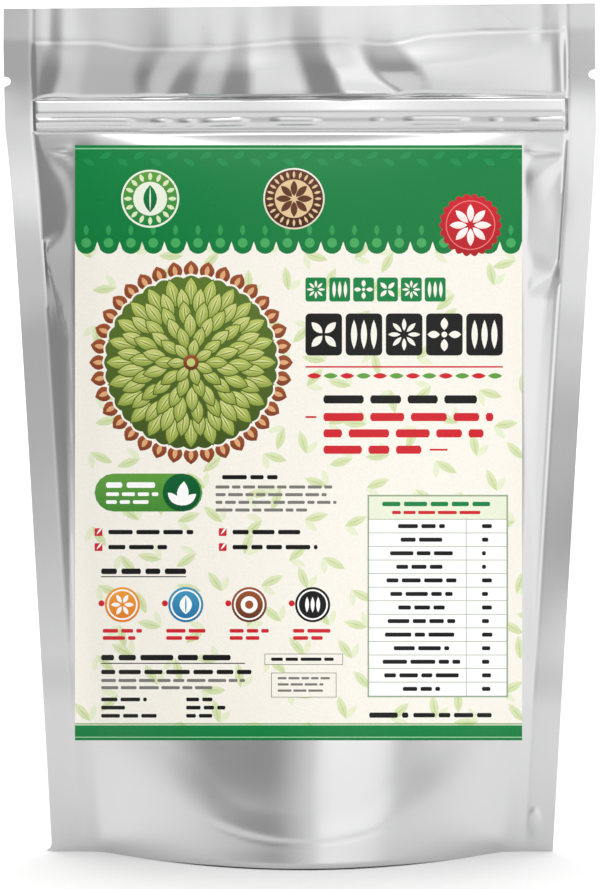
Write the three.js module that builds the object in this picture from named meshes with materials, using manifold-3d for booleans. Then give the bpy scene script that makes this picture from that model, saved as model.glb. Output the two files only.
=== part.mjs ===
// A filled silver foil stand-up pouch, 180 x 260 mm, holding whole green cardamom pods.
// It has a heat-sealed top, tear notches, a press-to-close zip, a folded bottom gusset and a front label.
// Units are millimetres. X runs across, Y from the front (-Y) to the back, Z up.
// The origin is on the table, under the middle of the pouch.
import * as THREE from "three";
import { mergeVertices } from "three/addons/utils/BufferGeometryUtils.js";
import Module from "manifold-3d";

const wasm = await Module();
wasm.setup();

// Driving dimensions of the pouch
const HEIGHT = 260; // bottom rim to top edge
const TOP_WIDTH = 180; // across the flat top, outer edge to outer edge
const BASE_WIDTH = 154; // across the bottom corners, once the filling has drawn them in
const BASE_DEPTH = 38; // how far each panel stands out from the middle at the base
const FILM = 0.4; // thickness of a front or back panel
const GUSSET_FILM = 0.35;
const AIR = 0.3; // gap between pieces that touch
const SIDE_SEAL = 8.5;
const TOP_SEAL = 11;

// The zip's two tracks, measured up from the table
const ZIP_LOW = 221.7;
const ZIP_HIGH = 230.8;
const ZIP_HALF_ROOM = 1.6; // from the middle to the inside of a panel
const ZIP_TRACKS = [228.4, 224.1];
const ZIP_EASE = 1.6; // the panels close in over this height, above and below the zip
const ZIP_SHORT_OF_SEAL = 3.5;
const RIDGE_HALF = 1.3; // half the height of the ridge that each track raises in a panel
const RIDGE_RISE = 0.5;

// The bottom gusset, folded up between the panels
const FOLD_HEIGHT = 45; // where its fold meets the side seals
const FOLD_EASE = 3; // the panels close over the gusset's fold within this height
const SKIRT_HEIGHT = 8.4; // of the bottom seal at the middle of a panel
const GUSSET_SAG = 2.4;

// Tear notches, one in each side seal
const NOTCH_HEIGHT = 237.2;
const NOTCH_RADIUS = 1.35;
const NOTCH_DEPTH = 2.1;

// The front label
const LABEL_HALF_WIDTH = 68;
const LABEL_LOW = 34; // at its bottom corners
const LABEL_RISE = 4.2; // of its bottom edge in the middle, over the bulge
const LABEL_HIGH = 216.6;
const LABEL_FILM = 0.2;

// The pods inside
const FILL_TOP = 134;
const FILL_HEAP = 8; // how much higher the heap is in the middle
const POD_LENGTH = 17;
const POD_WIDTH = 8.5;

// How finely the curved sheets are divided
const PANEL_COLUMNS = 24;
const RIM_EASE = 3; // a panel leaves its side seal over this width

const clamp01 = (t) => Math.min(1, Math.max(0, t));

// Values from low to high with the given number of equal steps
function spread(low, high, count) {
  return Array.from({ length: count + 1 }, (_, i) => low + ((high - low) * i) / count);
}

function smoothstep(low, high, value) {
  const t = clamp01((value - low) / (high - low));
  return t * t * (3 - 2 * t);
}

// Shape of the filled pouch

// 0 at the zip, growing to 1 at the table
const below = (z) => clamp01((ZIP_LOW - z) / ZIP_LOW);

const halfWidth = (z) =>
  TOP_WIDTH / 2 - ((TOP_WIDTH - BASE_WIDTH) / 2) * below(z) ** 0.9;

// Distance from the middle to the inner edge of a side seal
const openHalf = (z) => halfWidth(z) - SIDE_SEAL;

// Places across the pouch: 1 is its outer edge, SEAL_PLACE the inner edge of a side seal,
// and between the two EASE_PLACEs the panels are fully free of their seals.
const SEAL_PLACE = 0.9;
const EASE_PLACE = 0.85;
const PLACES = [-1, -SEAL_PLACE, ...spread(-EASE_PLACE, EASE_PLACE, PANEL_COLUMNS), SEAL_PLACE, 1];

// The x of a place at height z
function xAt(place, z) {
  const p = Math.abs(place);
  const seal = openHalf(z);
  const ease = seal - RIM_EASE;
  const between = (a, b, xa, xb) => xa + ((xb - xa) * (p - a)) / (b - a);
  if (p > SEAL_PLACE) return Math.sign(place) * between(SEAL_PLACE, 1, seal, halfWidth(z));
  if (p > EASE_PLACE) return Math.sign(place) * between(EASE_PLACE, SEAL_PLACE, ease, seal);
  return (place * ease) / EASE_PLACE;
}

// How far a panel stands out on its middle line: quickly below the zip, slowly near the base
function swell(z) {
  const soften = 0.01;
  const power = 0.45;
  const rise = (t) => (t + soften) ** power;
  return (BASE_DEPTH * (rise(below(z)) - rise(0))) / (rise(1) - rise(0));
}

// Across the pouch a panel is a parabola that eases into the flat at each side
function arch(x, z) {
  const flatAtBase = 6.7;
  const blur = 0.08;
  const half = openHalf(z) - 0.5 - flatAtBase * below(z);
  const drop = 1 - (x / half) ** 2;
  return (drop + Math.hypot(drop, blur)) / 2;
}

// The two tracks of the zip hold the panels apart and show as ridges,
// and the header above them hangs slightly open.
function zipLift(z) {
  const room = ZIP_HALF_ROOM - AIR / 2;
  const opening = smoothstep(ZIP_LOW - ZIP_EASE, ZIP_LOW, z);
  const closing = smoothstep(ZIP_HIGH, ZIP_HIGH + ZIP_EASE, z);
  const nearness = ZIP_TRACKS.map((track) => clamp01(1 - Math.abs(z - track) / RIDGE_HALF));
  return room * opening * (1 - closing) + RIDGE_RISE * Math.max(...nearness);
}

function headerLift(z) {
  const lift = 1.3;
  const t = clamp01((z - ZIP_HIGH) / (HEIGHT - TOP_SEAL - ZIP_HIGH));
  return lift * Math.sin(Math.PI * t);
}

// Half the gap between the insides of the two panels at the point (x, z)
function interior(x, z) {
  const gussetLayers = (GUSSET_FILM + AIR) * (1 - smoothstep(FOLD_HEIGHT, FOLD_HEIGHT + FOLD_EASE, z));
  const open = smoothstep(0, RIM_EASE, openHalf(z) - Math.abs(x));
  return AIR / 2 + gussetLayers + open * (swell(z) * arch(x, z) + zipLift(z) + headerLift(z));
}

// Solids from sheets

// Makes a closed mesh geometry from two grids of points of the same size, one on each side of a sheet.
function sheet(front, back) {
  const rows = front.length;
  const columns = front[0].length;
  const points = [...front.flat(), ...back.flat()];
  const at = (side, i, j) => side * rows * columns + i * columns + j;
  const faces = [];
  const quad = (a, b, c, d) => faces.push(a, b, c, a, c, d);
  for (let i = 0; i + 1 < rows; i++)
    for (let j = 0; j + 1 < columns; j++) {
      quad(at(0, i, j), at(0, i, j + 1), at(0, i + 1, j + 1), at(0, i + 1, j));
      quad(at(1, i, j), at(1, i + 1, j), at(1, i + 1, j + 1), at(1, i, j + 1));
    }
  for (let i = 0; i + 1 < rows; i++) {
    const last = columns - 1;
    quad(at(0, i, 0), at(0, i + 1, 0), at(1, i + 1, 0), at(1, i, 0));
    quad(at(0, i, last), at(1, i, last), at(1, i + 1, last), at(0, i + 1, last));
  }
  for (let j = 0; j + 1 < columns; j++) {
    const last = rows - 1;
    quad(at(0, 0, j), at(1, 0, j), at(1, 0, j + 1), at(0, 0, j + 1));
    quad(at(0, last, j), at(0, last, j + 1), at(1, last, j + 1), at(1, last, j));
  }
  return outwards(points, faces);
}

// Turns the faces round if they enclose a negative volume.
function outwards(points, faces) {
  let volume = 0;
  for (let i = 0; i < faces.length; i += 3) {
    const [a, b, c] = [points[faces[i]], points[faces[i + 1]], points[faces[i + 2]]];
    volume += a.dot(b.clone().cross(c));
  }
  if (volume < 0)
    for (let i = 0; i < faces.length; i += 3)
      [faces[i + 1], faces[i + 2]] = [faces[i + 2], faces[i + 1]];
  const geometry = new THREE.BufferGeometry().setFromPoints(points);
  geometry.setIndex(faces);
  return geometry;
}

function toManifold(geometry) {
  const bare = geometry.clone();
  bare.deleteAttribute("normal");
  bare.deleteAttribute("uv");
  const merged = mergeVertices(bare, 1e-3);
  return new wasm.Manifold(
    new wasm.Mesh({
      numProp: 3,
      vertProperties: merged.attributes.position.array,
      triVerts: new Uint32Array(merged.index.array),
    }),
  );
}

function toGeometry(manifold) {
  const { numProp, vertProperties, triVerts } = manifold.getMesh();
  const geometry = new THREE.BufferGeometry();
  const points = [];
  for (let i = 0; i < vertProperties.length; i += numProp)
    points.push(vertProperties[i], vertProperties[i + 1], vertProperties[i + 2]);
  geometry.setAttribute("position", new THREE.Float32BufferAttribute(points, 3));
  geometry.setIndex([...triVerts]);
  return geometry;
}

// Front and back panels

// Heights at which a panel is divided, closer together where it bends most
const SHOULDER = 190; // above this the panels turn in more quickly towards the zip
const PANEL_HEIGHTS = [
  ...spread(0, FOLD_HEIGHT, 5),
  ...spread(FOLD_HEIGHT + FOLD_EASE, SHOULDER, 8),
  ...spread(SHOULDER, ZIP_LOW - ZIP_EASE, 5).slice(1),
  ZIP_LOW,
  ...ZIP_TRACKS.toReversed().flatMap((track) => [track - RIDGE_HALF, track, track + RIDGE_HALF]),
  ZIP_HIGH,
  ...spread(ZIP_HIGH + ZIP_EASE, HEIGHT - TOP_SEAL, 4),
  HEIGHT,
];

// A tear notch: a round bite out of the side seal, through both panels
function notchCutter(side) {
  const through = 6;
  const sides = 16;
  const bite = new THREE.CylinderGeometry(NOTCH_RADIUS, NOTCH_RADIUS, through, sides);
  bite.translate(side * (TOP_WIDTH / 2 - NOTCH_DEPTH + NOTCH_RADIUS), 0, NOTCH_HEIGHT);
  return toManifold(bite);
}

// A film that follows a panel's inner face, from one distance outside it to another.
// facing is -1 for the front of the pouch and 1 for the back.
function filmBetween(facing, near, far) {
  const surface = (offset) =>
    PANEL_HEIGHTS.map((z) =>
      PLACES.map((place) => {
        const x = xAt(place, z);
        return new THREE.Vector3(x, facing * (interior(x, z) + offset), z);
      }),
    );
  return toManifold(sheet(surface(near), surface(far)));
}

function panelGeometry(facing) {
  const whole = filmBetween(facing, 0, FILM);
  return toGeometry(whole.subtract(notchCutter(-1)).subtract(notchCutter(1)));
}

// Bottom gusset

// Height of the curved bottom seal: low in the middle, up to the fold at the side seals
function sealHeight(place) {
  const steepness = 2.2;
  const t = clamp01(Math.abs(place) / SEAL_PLACE);
  return SKIRT_HEIGHT + (FOLD_HEIGHT - SKIRT_HEIGHT) * t ** steepness;
}

// How far the free part of the gusset hangs below its seals
function sag(place) {
  const sideSag = 9;
  const t2 = clamp01(Math.abs(place) / SEAL_PLACE) ** 2;
  return GUSSET_SAG * (1 - t2 * t2) + sideSag * t2 * (1 - t2);
}

// Height of the gusset's middle surface; across runs from -1 at the front seal to 1 at the back seal
const gussetHeight = (place, across) => sealHeight(place) - sag(place) * (1 - across * across);

// One side of the gusset at one place: up the front leg, across and down the back leg.
// side is 1 for the side that meets the panels and the pods, and -1 for the underside.
function gussetLine(place, side) {
  const legSteps = 3;
  const acrossSteps = 10;
  const shift = (side * GUSSET_FILM) / 2;
  const top = sealHeight(place);
  const depth = (z) => interior(xAt(place, z), z) - AIR - GUSSET_FILM / 2 + shift;
  const onLeg = (facing, z) => new THREE.Vector3(xAt(place, z), facing * depth(z), z);
  const onTop = (q) => new THREE.Vector3(xAt(place, top), q * depth(top), gussetHeight(place, q) + shift);
  const leg = spread(0, top, legSteps).slice(0, -1);
  return [
    ...leg.map((z) => onLeg(-1, z)),
    ...spread(-1, 1, acrossSteps).map(onTop),
    ...leg.reverse().map((z) => onLeg(1, z)),
  ];
}

function gussetGeometry() {
  return sheet(
    PLACES.map((place) => gussetLine(place, 1)),
    PLACES.map((place) => gussetLine(place, -1)),
  );
}

// Press-to-close zip: a ribbed strip on the front panel and a grooved strip on the back one

function extrudeAcross(outline, halfLength) {
  const shape = new THREE.Shape(outline.map(([y, z]) => new THREE.Vector2(y, z)));
  const geometry = new THREE.ExtrudeGeometry(shape, { depth: 2 * halfLength, bevelEnabled: false });
  // The outline's own axes are Y and Z, and the extrusion runs along X
  geometry.applyMatrix4(new THREE.Matrix4().makeBasis(
    new THREE.Vector3(0, 1, 0),
    new THREE.Vector3(0, 0, 1),
    new THREE.Vector3(1, 0, 0),
  ));
  geometry.translate(-halfLength, 0, 0);
  return geometry;
}

const ZIP_FLANGE = 0.4;
const ZIP_OUT = ZIP_HALF_ROOM - AIR; // outer face of each strip
const ZIP_IN = ZIP_OUT - ZIP_FLANGE; // inner face, which carries the ribs or jaws
const ZIP_MARGIN = 0.3;

// A rib is a stem with an arrow head that snaps in behind the jaws
function ribStrip() {
  const stem = 0.25;
  const head = 0.45;
  const barb = 0;
  const tip = 0.5;
  const rib = (z) => [
    [-ZIP_IN, z - stem],
    [barb, z - stem],
    [barb, z - head],
    [tip, z - stem],
    [tip, z + stem],
    [barb, z + head],
    [barb, z + stem],
    [-ZIP_IN, z + stem],
  ];
  const [high, low] = ZIP_TRACKS;
  return [
    [-ZIP_OUT, ZIP_LOW + ZIP_MARGIN],
    [-ZIP_IN, ZIP_LOW + ZIP_MARGIN],
    ...rib(low),
    ...rib(high),
    [-ZIP_IN, ZIP_HIGH - ZIP_MARGIN],
    [-ZIP_OUT, ZIP_HIGH - ZIP_MARGIN],
  ];
}

// Each groove is a pair of jaws with a lip turned in at the mouth
function grooveStrip() {
  const room = 0.8;
  const jaw = 0.35;
  const lip = 0.42;
  const lipBase = -0.15;
  const mouth = -0.4;
  const groove = (z) => [
    [ZIP_IN, z - room - jaw],
    [mouth, z - room - jaw],
    [mouth, z - lip],
    [lipBase, z - lip],
    [lipBase, z - room],
    [ZIP_IN, z - room],
    [ZIP_IN, z + room],
    [lipBase, z + room],
    [lipBase, z + lip],
    [mouth, z + lip],
    [mouth, z + room + jaw],
    [ZIP_IN, z + room + jaw],
  ];
  const [high, low] = ZIP_TRACKS;
  return [
    [ZIP_OUT, ZIP_LOW + ZIP_MARGIN],
    [ZIP_IN, ZIP_LOW + ZIP_MARGIN],
    ...groove(low),
    ...groove(high),
    [ZIP_IN, ZIP_HIGH - ZIP_MARGIN],
    [ZIP_OUT, ZIP_HIGH - ZIP_MARGIN],
  ];
}

const zipHalfLength = openHalf(ZIP_HIGH) - ZIP_SHORT_OF_SEAL;

// Front label: a printed film that follows the front panel

function labelOutline() {
  const reach = 2 * BASE_DEPTH; // forward of the middle, past the front panel
  const bulge = (x) => arch(x, LABEL_LOW) / arch(0, LABEL_LOW);
  const edgeSteps = 16;
  const bottomEdge = spread(-LABEL_HALF_WIDTH, LABEL_HALF_WIDTH, edgeSteps).map(
    (x) => new THREE.Vector2(x, LABEL_LOW + LABEL_RISE * bulge(x)),
  );
  const outline = new THREE.Shape([
    ...bottomEdge,
    new THREE.Vector2(LABEL_HALF_WIDTH, LABEL_HIGH),
    new THREE.Vector2(-LABEL_HALF_WIDTH, LABEL_HIGH),
  ]);
  const block = new THREE.ExtrudeGeometry(outline, { depth: reach, bevelEnabled: false });
  block.rotateX(Math.PI / 2);
  return toManifold(block);
}

function labelGeometry() {
  return toGeometry(filmBetween(-1, FILM + AIR, FILM + AIR + LABEL_FILM).intersect(labelOutline()));
}

// The filling: a settled mass of pods, with whole pods standing out of the top of the heap

// One cardamom pod lying along X: three-sided, and narrower towards one end
function podGeometry() {
  const around = 9;
  const along = 5;
  const pod = new THREE.SphereGeometry(1, around, along);
  pod.rotateZ(Math.PI / 2);
  const points = pod.getAttribute("position");
  for (let i = 0; i < points.count; i++) {
    const [x, y, z] = [points.getX(i), points.getY(i), points.getZ(i)];
    const ridge = 1 + 0.09 * Math.cos(3 * Math.atan2(z, y));
    const taper = 1 - 0.25 * x;
    const girth = (ridge * taper * POD_WIDTH) / 2;
    points.setXYZ(i, (x * POD_LENGTH) / 2, y * girth, z * girth);
  }
  return pod;
}

const fillTop = (x) => FILL_TOP + FILL_HEAP * Math.cos((Math.PI * x) / (2 * openHalf(FILL_TOP)));

function fillCore() {
  const clearance = 1.1;
  const reach = 0.9; // of the open half width
  const columns = spread(-reach, reach, 18);
  const rows = spread(0, 1, 10);
  const side = (facing) =>
    rows.map((v) =>
      columns.map((u) => {
        const z = v * fillTop(u * openHalf(FILL_TOP));
        const x = u * openHalf(z);
        return new THREE.Vector3(x, facing * (interior(x, z) - clearance), z);
      }),
    );
  return toManifold(sheet(side(-1), side(1)));
}

// Everything under the gusset, and a little above it, is cut away from the filling
function underGusset() {
  const above = 1.5;
  const floor = -5;
  const acrossSteps = 10;
  const pastPanels = BASE_DEPTH / 2; // front and back
  const top = PLACES.map((place) => {
    const rim = sealHeight(place);
    const x = xAt(place, rim);
    const half = interior(x, rim);
    const atRim = (y) => new THREE.Vector3(x, y, rim + above);
    const line = spread(-1, 1, acrossSteps).map(
      (q) => new THREE.Vector3(x, q * half, gussetHeight(place, q) + above),
    );
    return [atRim(-half - pastPanels), ...line, atRim(half + pastPanels)];
  });
  const bottom = top.map((line) => line.map((p) => new THREE.Vector3(p.x, p.y, floor)));
  return toManifold(sheet(top, bottom));
}

// Random numbers from 0 to 1, the same on every run
function randomFrom(seed) {
  const multiplier = 16807;
  const modulus = 2147483647;
  let state = seed;
  return () => {
    state = (state * multiplier) % modulus;
    return state / modulus;
  };
}

// Pods on the top of the heap, on a staggered grid with seeded turns
function heapPods() {
  const spacing = 13;
  const rowGap = 9.5;
  const inset = 9.5; // from the panels
  const raise = 1; // of a pod's middle above the mass
  const mostTilt = 0.25;
  const random = randomFrom(20);
  const pods = [];
  for (const row of [-1, 0, 1])
    for (const column of spread(-4.5, 4.5, 9)) {
      const x = (column + row / 2) * spacing;
      const y = row * rowGap;
      const z = fillTop(x);
      const turn = (random() - 0.5) * Math.PI;
      const tilt = (2 * random() - 1) * mostTilt;
      if (Math.abs(y) > interior(x, z) - inset) continue;
      const pod = podGeometry();
      pod.rotateY(tilt);
      // The pods along the panels lie nearly along them
      pod.rotateZ(row === 0 ? turn : turn / 4);
      pod.translate(x, y, z + raise);
      pods.push(toManifold(pod));
    }
  return pods;
}

function fillGeometry() {
  const core = fillCore().subtract(underGusset());
  return toGeometry(heapPods().reduce((mass, pod) => mass.add(pod), core));
}

// Materials and assembly

const foil = new THREE.MeshStandardMaterial({ color: 0xc9cacc, metalness: 0.95, roughness: 0.28 });
const foilInside = new THREE.MeshStandardMaterial({ color: 0xb9babc, metalness: 0.9, roughness: 0.36 });
const clearPlastic = new THREE.MeshStandardMaterial({ color: 0xe9ecec, metalness: 0, roughness: 0.3 });
const labelPaper = new THREE.MeshStandardMaterial({ color: 0xf3efe2, metalness: 0, roughness: 0.35 });
const podGreen = new THREE.MeshStandardMaterial({ color: 0x9fae55, metalness: 0, roughness: 0.8 });

const pouch = new THREE.Group();
pouch.name = "foil_stand_up_pouch";

function addPiece(name, geometry, material) {
  const mesh = new THREE.Mesh(geometry, material);
  mesh.name = name;
  pouch.add(mesh);
}

addPiece("front_panel", panelGeometry(-1), foil);
addPiece("back_panel", panelGeometry(1), foil);
addPiece("bottom_gusset", gussetGeometry(), foilInside);
addPiece("zip_rib_strip", extrudeAcross(ribStrip(), zipHalfLength), clearPlastic);
addPiece("zip_groove_strip", extrudeAcross(grooveStrip(), zipHalfLength), clearPlastic);
addPiece("front_label", labelGeometry(), labelPaper);
addPiece("pod_filling", fillGeometry(), podGreen);

export default pouch;
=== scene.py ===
import math
import random

import bpy
import numpy as np
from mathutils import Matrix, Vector
from mathutils.geometry import delaunay_2d_cdt


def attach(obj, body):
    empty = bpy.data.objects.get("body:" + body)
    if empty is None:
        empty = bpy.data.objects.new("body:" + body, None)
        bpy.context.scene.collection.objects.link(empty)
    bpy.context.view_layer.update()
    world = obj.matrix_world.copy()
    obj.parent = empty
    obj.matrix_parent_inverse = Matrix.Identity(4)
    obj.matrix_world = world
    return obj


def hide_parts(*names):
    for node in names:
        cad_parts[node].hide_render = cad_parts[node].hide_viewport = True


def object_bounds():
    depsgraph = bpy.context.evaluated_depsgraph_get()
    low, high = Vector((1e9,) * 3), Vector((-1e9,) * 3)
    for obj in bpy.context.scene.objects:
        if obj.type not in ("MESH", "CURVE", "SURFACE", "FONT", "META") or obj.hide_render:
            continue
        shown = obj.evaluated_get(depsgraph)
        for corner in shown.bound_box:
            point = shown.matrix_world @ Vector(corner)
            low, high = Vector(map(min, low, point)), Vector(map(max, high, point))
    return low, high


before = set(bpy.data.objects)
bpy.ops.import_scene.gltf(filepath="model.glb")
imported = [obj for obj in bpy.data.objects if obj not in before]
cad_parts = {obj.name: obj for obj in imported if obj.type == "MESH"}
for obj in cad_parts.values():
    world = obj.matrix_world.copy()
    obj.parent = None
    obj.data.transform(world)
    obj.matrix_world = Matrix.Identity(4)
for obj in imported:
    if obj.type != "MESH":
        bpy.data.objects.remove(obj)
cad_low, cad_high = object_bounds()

# A filled silver foil stand-up pouch with a printed front label, on a white studio floor.
# Lengths are in millimetres until a mesh is made: X across, -Y to the front, Z up from the floor.
MM = 0.001

# Driving dimensions, as in the solids
HEIGHT = cad_high.z / MM
TOP_WIDTH = (cad_high.x - cad_low.x) / MM
BASE_WIDTH = 154
BASE_DEPTH = 38
SIDE_SEAL = 8.5
RIM_EASE = 3
ZIP_LOW = 221.7
ZIP_HIGH = 230.8
FOLD_HEIGHT = 45
SKIRT_HEIGHT = 8.4
NOTCH_RADIUS = 1.35
NOTCH_DEPTH = 2.1
NOTCH_HEIGHTS = {-1: 236.9, 1: 238.0}

# Thickness of the films, and the air left between two that touch
FILM = 0.16
GUSSET_FILM = 0.1
SEAL_AIR = 0.02

# Camera, set for the photograph's viewing angle
CAMERA_DISTANCE = 1600
CAMERA_PITCH = 4.2
CAMERA_AIM_X = -0.76
CAMERA_AIM_Z = 125.5
CAMERA_LENS = 212.35
CAMERA_REACH = 20000
CAMERA_HEIGHT = CAMERA_AIM_Z + CAMERA_DISTANCE * math.tan(math.radians(CAMERA_PITCH))

# Label, measured in the plane through the camera's aim that faces the camera
LABEL_WIDTH = 136.8
LABEL_DROP = 182.1
LABEL_LEFT = -68.84
LABEL_TOP = 91.6
LABEL_FILM = 0.08
LABEL_AIR = 0.06  # enough for its wide triangles to clear the curved film
LABEL_GRID = 2.6


# Curves and bumps

def ramp(low, high, value):
    """0 up to low, 1 from high on, and a soft rise between them."""
    t = np.clip((value - low) / (high - low), 0, 1)
    return t * t * (3 - 2 * t)


def bump(distance, width):
    return np.exp(-((distance / width) ** 2))


def between(low, high, ease, value):
    """1 from low to high and 0 outside, with a soft step at each end."""
    return ramp(low - ease, low + ease, value) - ramp(high - ease, high + ease, value)


def through(value, places, heights):
    """A smooth curve that passes through the given points and is level at each of them."""
    places, heights = np.asarray(places, float), np.asarray(heights, float)
    value = np.clip(value, places[0], places[-1])
    right = np.clip(np.searchsorted(places, value), 1, len(places) - 1)
    left = right - 1
    t = ramp(places[left], places[right], value)
    return heights[left] + (heights[right] - heights[left]) * t


def waves(x, z, size, seed, count=6):
    """Gentle unevenness between about -1 and 1, with humps of about the given size."""
    rng = np.random.RandomState(seed)
    total = 0
    for _ in range(count):
        turn, phase = rng.uniform(0, 2 * math.pi, 2)
        pitch = size * rng.uniform(0.7, 1.6)
        total = total + np.sin((x * math.cos(turn) + z * math.sin(turn)) * math.pi / pitch + phase)
    return total / 3


# The filled pouch's main form
TAPER_POWER = 0.9
SWELL_POWER = 0.45
SWELL_SOFTENING = 0.01
ARCH_MARGIN = 0.5
ARCH_NARROWING = 6.7  # how much sooner the bulge ends at the floor than at the zip
ARCH_SOFTENING = 0.08
SEAL_CURVE_POWER = 2.2


def below(z):
    """0 at the zip and 1 at the floor."""
    return np.clip((ZIP_LOW - z) / ZIP_LOW, 0, 1)


def half_width(z):
    return TOP_WIDTH / 2 - (TOP_WIDTH - BASE_WIDTH) / 2 * below(z) ** TAPER_POWER


def open_half(z):
    """Half of the width between the side seals."""
    return half_width(z) - SIDE_SEAL


def swell(z):
    """How far the filled body bulges at its middle."""
    start = SWELL_SOFTENING ** SWELL_POWER
    end = (1 + SWELL_SOFTENING) ** SWELL_POWER
    return BASE_DEPTH * ((below(z) + SWELL_SOFTENING) ** SWELL_POWER - start) / (end - start)


def arch(x, z):
    """The bulge's section across the pouch: 1 at the middle, falling to 0 by the side seals."""
    half = open_half(z) - ARCH_MARGIN - ARCH_NARROWING * below(z)
    drop = 1 - (x / half) ** 2
    return (drop + np.hypot(drop, ARCH_SOFTENING)) / 2


def inset(x, z):
    """Distance in from the inner edge of the side seal."""
    return open_half(z) - np.abs(x)


def bottom_seal(x, z):
    """Height of the curved bottom seal."""
    t = np.clip(np.abs(x) / open_half(z), 0, 1)
    return SKIRT_HEIGHT + (FOLD_HEIGHT - SKIRT_HEIGHT) * t ** SEAL_CURVE_POWER


# Where the top seal ends, wandering a little across the pouch
TOP_SEAL_EDGE = (
    (-90, -63, -48, -26, -11, -4, 14, 26, 42, 55, 90),
    (249.8, 249.5, 247.3, 247.3, 248.5, 249.2, 249.3, 248.2, 250.8, 251.6, 252.2),
)


def top_seal_edge(x):
    return through(x, *TOP_SEAL_EDGE)


def up_header(x, z):
    """0 at the zip and 1 at the top seal."""
    return np.clip((z - ZIP_HIGH) / (top_seal_edge(x) - ZIP_HIGH), 0, 1)


# The zip shows as a raised band with two ridges. The lower ridge is pressed flat here and there:
# each crimp is where it starts and ends.
ZIP_RISE = 1.42
UPPER_TRACK = 228.4
UPPER_RIDGE = ((-6.7, -3.4, -1.5, -1.0, 2.4), (0, 0.5, 1.05, 1.05, 0))
LOWER_TRACK = 224.1
LOWER_RIDGE_HALF = 1.4
LOWER_RIDGE_RISE = 0.6
ZIP_CRIMPS = (
    (-51, -44), (-40, -36), (-32, -29), (-17, -7.6), (4.6, 22.5), (24.3, 33), (50.5, 59), (60, 71),
)
CRIMP_EASE = 0.4
CRIMP_SHARE = 0.75


def zip_form(x, z):
    plateau = ramp(ZIP_LOW - 1.1, ZIP_LOW, z) - ramp(ZIP_HIGH - 0.1, ZIP_HIGH + 0.5, z)
    upper_ridge = np.interp(z - UPPER_TRACK, *UPPER_RIDGE) * (1 + 0.1 * waves(x, 0, 30, 6))
    sway = 0.2 * waves(x, 0, 17, 5)
    off_track = (z - LOWER_TRACK - sway) / LOWER_RIDGE_HALF
    lower_ridge = LOWER_RIDGE_RISE * np.clip(1 - off_track ** 2, 0, 1)
    crimped = sum(between(start, end, CRIMP_EASE, x) for start, end in ZIP_CRIMPS)
    return ZIP_RISE * plateau + upper_ridge + lower_ridge * (1 - CRIMP_SHARE * crimped)


# Facets of the header above the zip, from left to right: where each one ends at the top seal,
# half way down and at the zip, and its rise toward the viewer per millimetre.
HEADER_EDGE = 81.4
HEADER_FACETS = {
    "front": (
        (-75.6, -78.3, -79.6, 0.05), (-72.6, -73, -76.3, 0.21), (-63.5, -65.9, -68, -0.1),
        (-45.3, -49.6, -48.3, 0), (-39.3, -45.3, -45.9, 0.2), (-30.2, -36.8, -40.8, -0.05),
        (-25.6, -30.8, -32.6, 0.18), (-20.5, -22.3, -24.7, -0.02), (-15, -15, -15.6, 0.2),
        (-2.3, 1, 3.2, -0.1), (6.8, 10.4, 14.1, 0.21), (19.5, 22, 33.5, -0.2),
        (28.6, 35.9, 38.9, 0.17), (77.1, 77.7, 78.3, -0.075), (78.9, 79.2, 79.3, 0.3),
        (HEADER_EDGE, HEADER_EDGE, HEADER_EDGE, -0.25),
    ),
    "back": (
        (-70, -68, -72, 0.14), (-52, -55, -50, -0.1), (-40, -46, -41, 0.2),
        (-20, -18, -26, -0.1), (-8, -11, -14, 0.24), (14, 9, 4, -0.08),
        (26, 20, 18, 0.16), (45, 48, 52, -0.12), (54, 60, 58, 0.12),
        (HEADER_EDGE, HEADER_EDGE, HEADER_EDGE, -0.08),
    ),
}
HEADER_ROUNDING = 0.7
HEADER_DEPTH = ((0, 0.11, 0.45, 1), (0, 0.85, 0.85, 0.36))  # at shares of the way up to the top seal
RUN_OUT = 0.26  # depth that the folds lose from there to the top edge


def facets_form(x, t, facets):
    """Height of a folded sheet whose facets' borders bend a little between t = 0 and t = 1."""
    start = -HEADER_EDGE
    height = 0
    total = 0
    for top, halfway, bottom, rise in facets:
        end = bottom * (1 - t) * (1 - 2 * t) + halfway * 4 * t * (1 - t) + top * t * (2 * t - 1)
        height = height + rise * np.clip(x - start, 0, end - start)
        total = total + rise * (end - start)
        start = end
    return height - total * np.clip((x + HEADER_EDGE) / (start + HEADER_EDGE), 0, 1)


def header_folds(x, z, face):
    """Folds that start at the zip, are deepest in the header and run out into the top seal."""
    t = up_header(x, z)
    shifts = (-HEADER_ROUNDING, 0, HEADER_ROUNDING)
    folded = sum(facets_form(x + shift, t, HEADER_FACETS[face]) for shift in shifts) / len(shifts)
    past_edge = np.clip((z - top_seal_edge(x)) / (HEIGHT - top_seal_edge(x)), 0, 1)
    depth = through(t, *HEADER_DEPTH) - RUN_OUT * past_edge
    return np.maximum(folded, 0) * depth * (np.abs(x) < HEADER_EDGE)


def in_top_seal(x, z):
    """0 in the header and 1 in the top seal."""
    return ramp(-2.0, 0.4, z - top_seal_edge(x))


def header_form(x, z, face):
    """How far the header's film stands off the middle."""
    t = up_header(x, z)
    below_edge = top_seal_edge(x) - z
    stand_off = 0.12 * ramp(0, 0.7, below_edge) * ramp(0, 0.06, t)
    press_line = (0.06 + 0.06 * waves(x, 0, 16, 9)) * bump(below_edge, 0.4)
    hang = 0.35 * np.sin(math.pi * t)
    return stand_off - press_line + hang + header_folds(x, z, face) * (1 - in_top_seal(x, z))


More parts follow.
